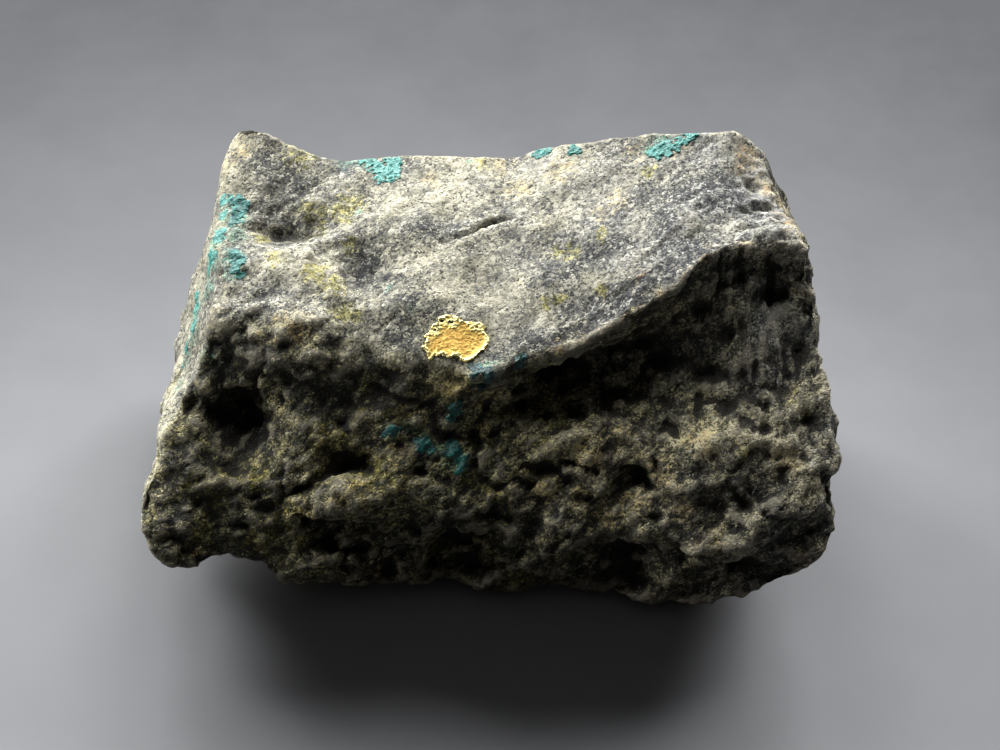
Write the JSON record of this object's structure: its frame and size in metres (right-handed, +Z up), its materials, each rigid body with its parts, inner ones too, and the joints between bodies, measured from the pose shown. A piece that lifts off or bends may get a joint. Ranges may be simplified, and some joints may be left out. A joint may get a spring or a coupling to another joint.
{
  "type": "gold with atacamite mineral specimen",
  "caption": "Broken hand-sized chip of pale salt-and-pepper rock with a flake of native gold on its front lip and blue-green atacamite crusts; rests on its flat underside.",
  "frame": {"origin": "middle of the block's footprint, on the surface that it rests on", "axes": "+X along the long side, +Y to the back (the gold and the broken front face -Y), +Z up"},
  "size_m": [0.0506, 0.0304, 0.0251],
  "materials": {
    "rock": "rough broken grey and cream rock, salt-and-pepper grain, yellow-green stains",
    "gold": "native gold, finely wrinkled bright metal leaf",
    "atacamite": "fine blue-green crystalline crust, slightly glassy"
  },
  "bodies": {
    "root": {"rock": "rock", "gold_leaf": "gold", "atacamite_back_left": "atacamite", "atacamite_back_middle": "atacamite", "atacamite_back_right": "atacamite", "atacamite_edge_back": "atacamite", "atacamite_edge_front": "atacamite", "atacamite_face_upper": "atacamite", "atacamite_face_middle": "atacamite", "atacamite_face_lower": "atacamite", "atacamite_under_gold": "atacamite", "atacamite_lip": "atacamite", "atacamite_front_upper": "atacamite", "atacamite_front_left": "atacamite", "atacamite_front_middle": "atacamite", "atacamite_front_lower": "atacamite"}
  },
  "joints": []
}
